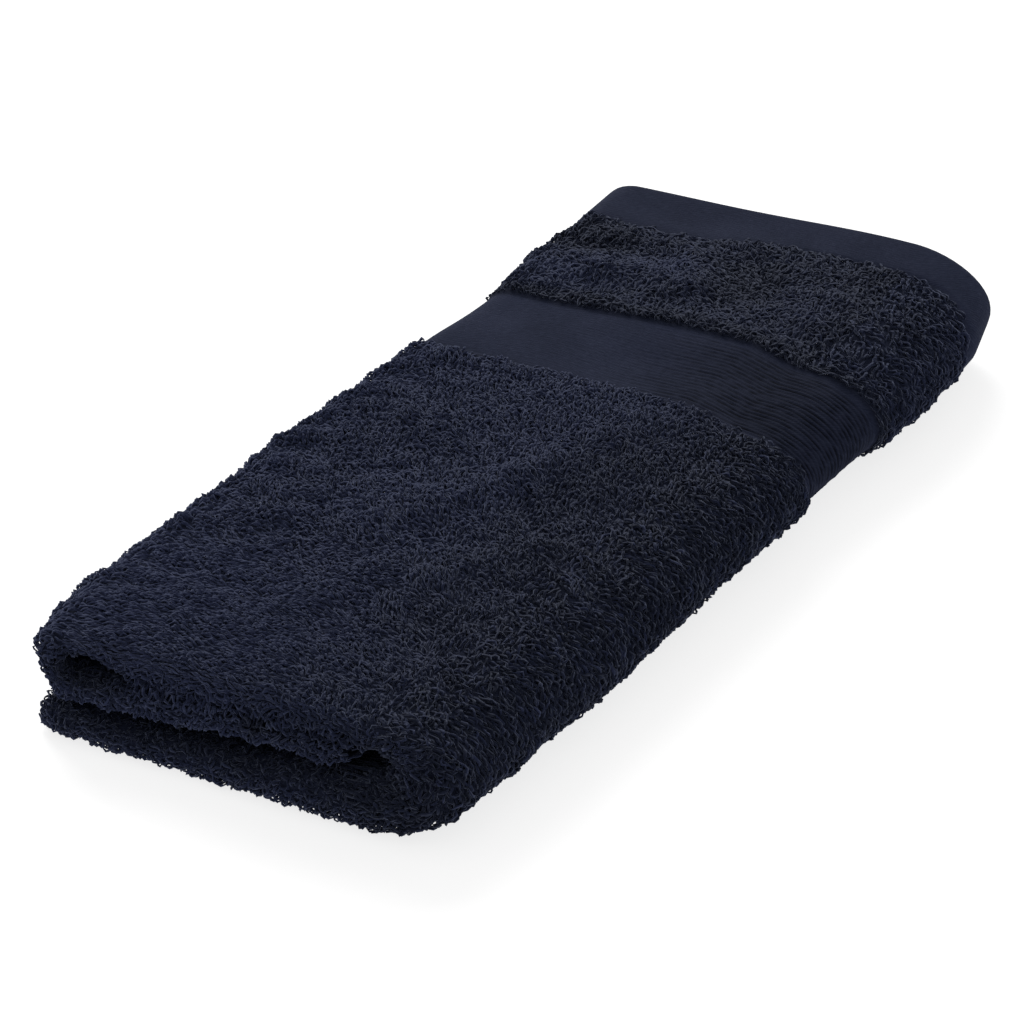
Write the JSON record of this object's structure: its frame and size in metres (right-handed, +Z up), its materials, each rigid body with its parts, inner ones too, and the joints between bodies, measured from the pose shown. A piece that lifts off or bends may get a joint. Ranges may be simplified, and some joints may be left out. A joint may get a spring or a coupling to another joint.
{
  "type": "folded guest towel",
  "caption": "Small navy terry guest towel, folded in half and then in thirds, with flat woven bands and plain hems.",
  "frame": {"origin": "bottom centre of the folded towel's box, on the surface it lies on", "axes": "+X across the folded towel, towards its outer fold; +Y along it, from the bend of the half fold to the hems; +Z up"},
  "size_m": [0.1118, 0.2548, 0.0266],
  "materials": {
    "terry": "matte looped cotton pile, dyed navy"
  },
  "bodies": {
    "root": {"towel": "terry"}
  },
  "joints": []
}
